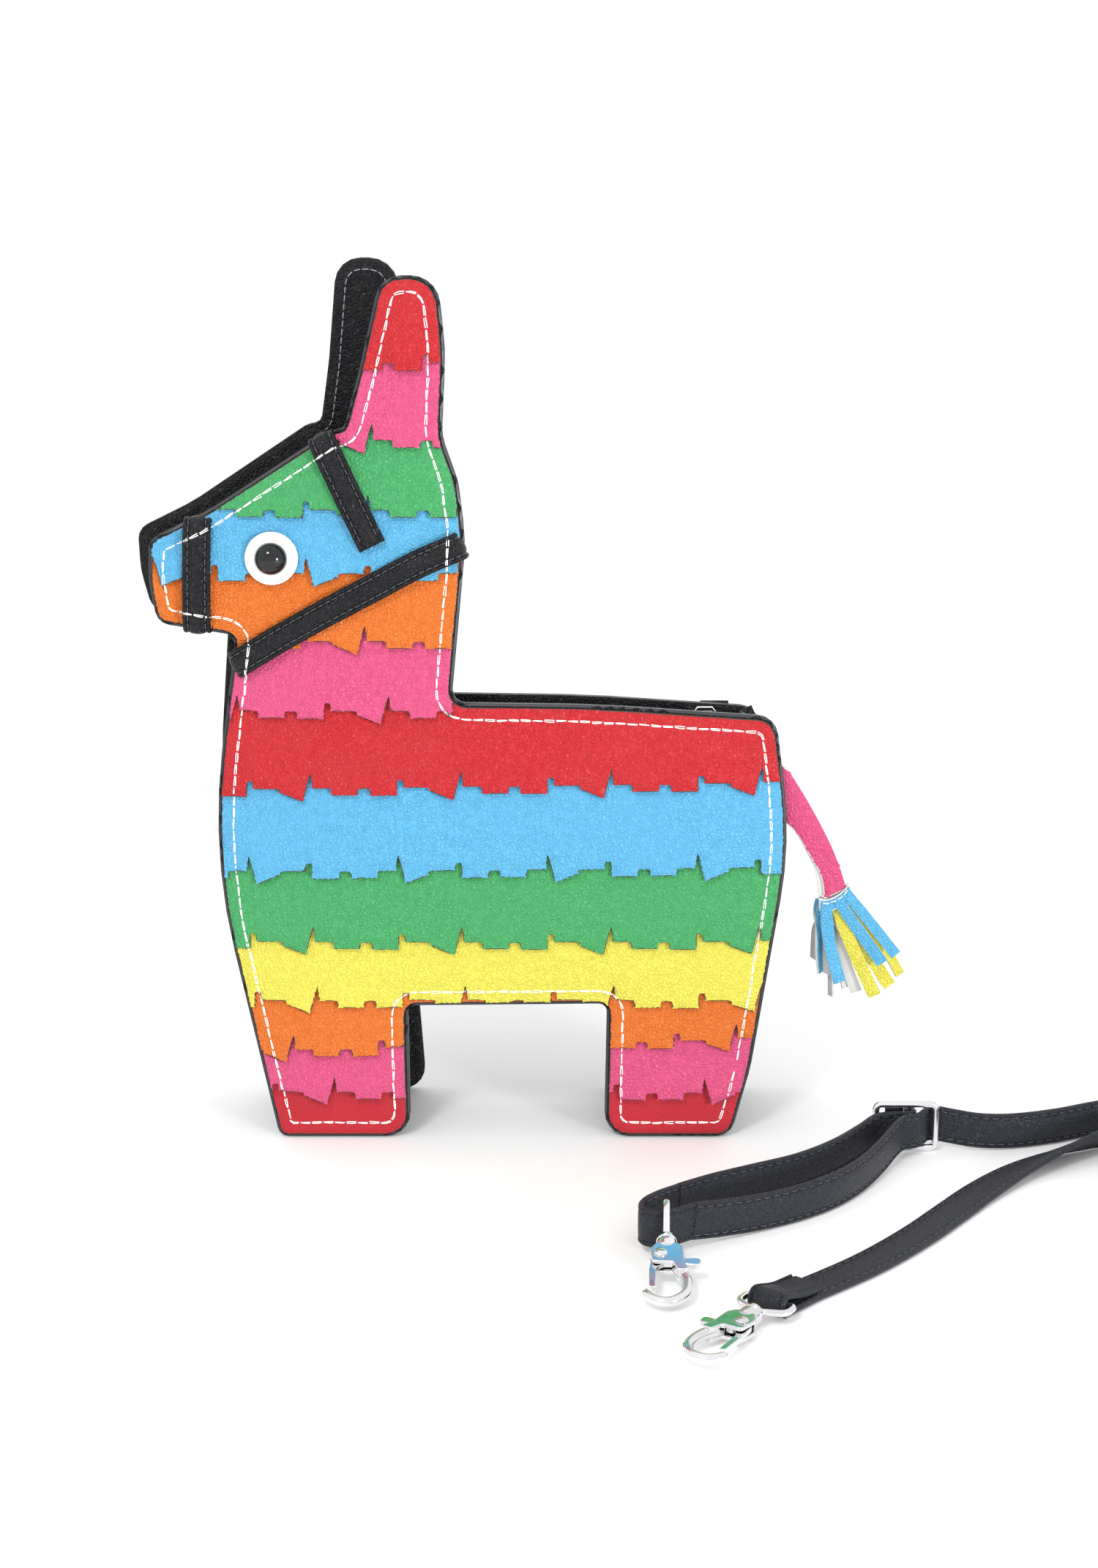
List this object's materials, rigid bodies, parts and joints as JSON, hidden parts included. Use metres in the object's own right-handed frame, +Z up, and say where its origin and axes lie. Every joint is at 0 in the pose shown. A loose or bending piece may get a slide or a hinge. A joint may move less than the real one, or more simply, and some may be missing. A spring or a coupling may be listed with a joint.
{
  "type": "donkey-shaped party handbag",
  "caption": "Free-standing donkey-shaped bag with fringed coloured strips, a top zip and a detachable shoulder strap lying beside it.",
  "frame": {"origin": "on the floor, under the middle of the bag's own box, without the loose strap", "axes": "+Z up along the bag's height, +X from the muzzle to the tail, +Y through the bag's depth, away from its decorated side"},
  "size_m": [0.4411, 0.2113, 0.2766],
  "materials": {
    "body_leather": "pebbled satin",
    "trim_leather": "satin",
    "strap_leather": "pebbled satin",
    "red_leather": "pebbled satin",
    "deep_red_leather": "pebbled satin",
    "pink_leather": "pebbled satin",
    "green_leather": "pebbled satin",
    "blue_leather": "pebbled satin",
    "orange_leather": "pebbled satin",
    "yellow_leather": "pebbled satin",
    "lining_cloth": "woven",
    "zip_cloth": "woven",
    "zip_nylon": "moulded",
    "eye_felt": "felt",
    "eye_plastic": "polished",
    "washer_plastic": "moulded",
    "silver_metal": "polished"
  },
  "bodies": {
    "bag": {"panel_front": "body_leather", "panel_back": "body_leather", "gusset_face": "body_leather", "gusset_chest": "body_leather", "gusset_under": "body_leather", "gusset_rump": "body_leather", "gusset_neck": "body_leather", "lining_front": "lining_cloth", "lining_back": "lining_cloth", "ear_red": "red_leather", "ear_pink": "pink_leather", "head_green": "green_leather", "head_blue": "blue_leather", "head_orange": "orange_leather", "neck_pink": "pink_leather", "body_red": "red_leather", "body_blue": "blue_leather", "body_green": "green_leather", "body_yellow": "yellow_leather", "legs_orange": "orange_leather", "leg_pink_front": "pink_leather", "leg_pink_rear": "pink_leather", "hoof_red_front": "deep_red_leather", "hoof_red_rear": "deep_red_leather", "noseband": "trim_leather", "cheek_strap": "trim_leather", "throat_strap": "trim_leather", "eye_white": "eye_felt", "eye_dome": "eye_plastic", "eye_washer": "washer_plastic", "tail_root": "pink_leather", "tab_neck": "trim_leather", "tab_rump": "trim_leather", "zip_tape_front": "zip_cloth", "zip_tape_back": "zip_cloth", "zip_teeth_front": "zip_nylon", "zip_teeth_back": "zip_nylon", "zip_top_stop": "silver_metal", "zip_bottom_stop": "silver_metal", "strap_adjuster": "strap_leather", "strap_main": "strap_leather", "strap_coil": "strap_leather", "strap_free": "strap_leather", "buckle": "silver_metal"},
    "slider": {"zip_slider": "silver_metal"},
    "puller": {"zip_puller": "silver_metal"},
    "neck_ring": {"d_ring_neck": "silver_metal"},
    "rump_ring": {"d_ring_rump": "silver_metal"},
    "tail": {"tail_strap": "pink_leather", "tassel_blue": "blue_leather", "tassel_yellow": "yellow_leather"},
    "hook_1_ring": {"clasp_1_ring": "silver_metal"},
    "hook_1": {"clasp_1_hook": "silver_metal", "clasp_1_rivet": "silver_metal"},
    "hook_1_lever": {"clasp_1_lever": "silver_metal"},
    "hook_2_ring": {"clasp_2_ring": "silver_metal"},
    "hook_2": {"clasp_2_hook": "silver_metal", "clasp_2_rivet": "silver_metal"},
    "hook_2_lever": {"clasp_2_lever": "silver_metal"}
  },
  "joints": [
    {"name": "zip_slide", "type": "slide", "parent": "bag", "child": "slider", "axis": [1, 0, 0], "range_m": [-0.062, 0]},
    {"name": "puller_lift", "type": "hinge", "parent": "slider", "child": "puller", "pos_m": [0.058, 0.0014, 0.13445], "axis": [0, 1, 0], "range_deg": [0, 170]},
    {"name": "neck_ring_swing", "type": "hinge", "parent": "bag", "child": "neck_ring", "pos_m": [-0.012, 0.02098, 0.12113], "axis": [1, 0, 0], "range_deg": [0, 150]},
    {"name": "rump_ring_swing", "type": "hinge", "parent": "bag", "child": "rump_ring", "pos_m": [0.062, 0.02098, 0.12113], "axis": [1, 0, 0], "range_deg": [0, 150]},
    {"name": "tail_flex", "type": "hinge", "parent": "bag", "child": "tail", "pos_m": [0.0846, -0.0113, 0.106], "axis": [0, 0, 1], "range_deg": [-35, 35], "stiffness_Nm_per_rad": 0.004},
    {"name": "hook_1_swing", "type": "hinge", "parent": "bag", "child": "hook_1_ring", "pos_m": [0.04221, -0.1096, 0.00883], "axis": [0.0052, 0.1477, -0.989], "range_deg": [-25, 8]},
    {"name": "hook_1_swivel", "type": "hinge", "parent": "hook_1_ring", "child": "hook_1", "pos_m": [0.0419, -0.1185, 0.0075], "axis": [-0.0345, -0.9884, -0.1478], "continuous": true},
    {"name": "hook_1_gate", "type": "hinge", "parent": "hook_1", "child": "hook_1_lever", "pos_m": [0.03975, -0.12862, 0.00598], "axis": [0.0052, 0.1477, -0.989], "range_deg": [-22, 0], "stiffness_Nm_per_rad": 0.02, "springref_deg": 11.46},
    {"name": "hook_2_swing", "type": "hinge", "parent": "bag", "child": "hook_2_ring", "pos_m": [0.06895, -0.15049, 0.0038], "axis": [-0.8348, 0.5505, 0], "range_deg": [0, 80]},
    {"name": "hook_2_swivel", "type": "hinge", "parent": "hook_2_ring", "child": "hook_2", "pos_m": [0.064, -0.158, 0.0038], "axis": [-0.5505, -0.8348, 0], "continuous": true},
    {"name": "hook_2_gate", "type": "hinge", "parent": "hook_2", "child": "hook_2_lever", "pos_m": [0.05983, -0.16759, 0.0038], "axis": [0, 0, 1], "range_deg": [-22, 0], "stiffness_Nm_per_rad": 0.02, "springref_deg": 11.46}
  ]
}
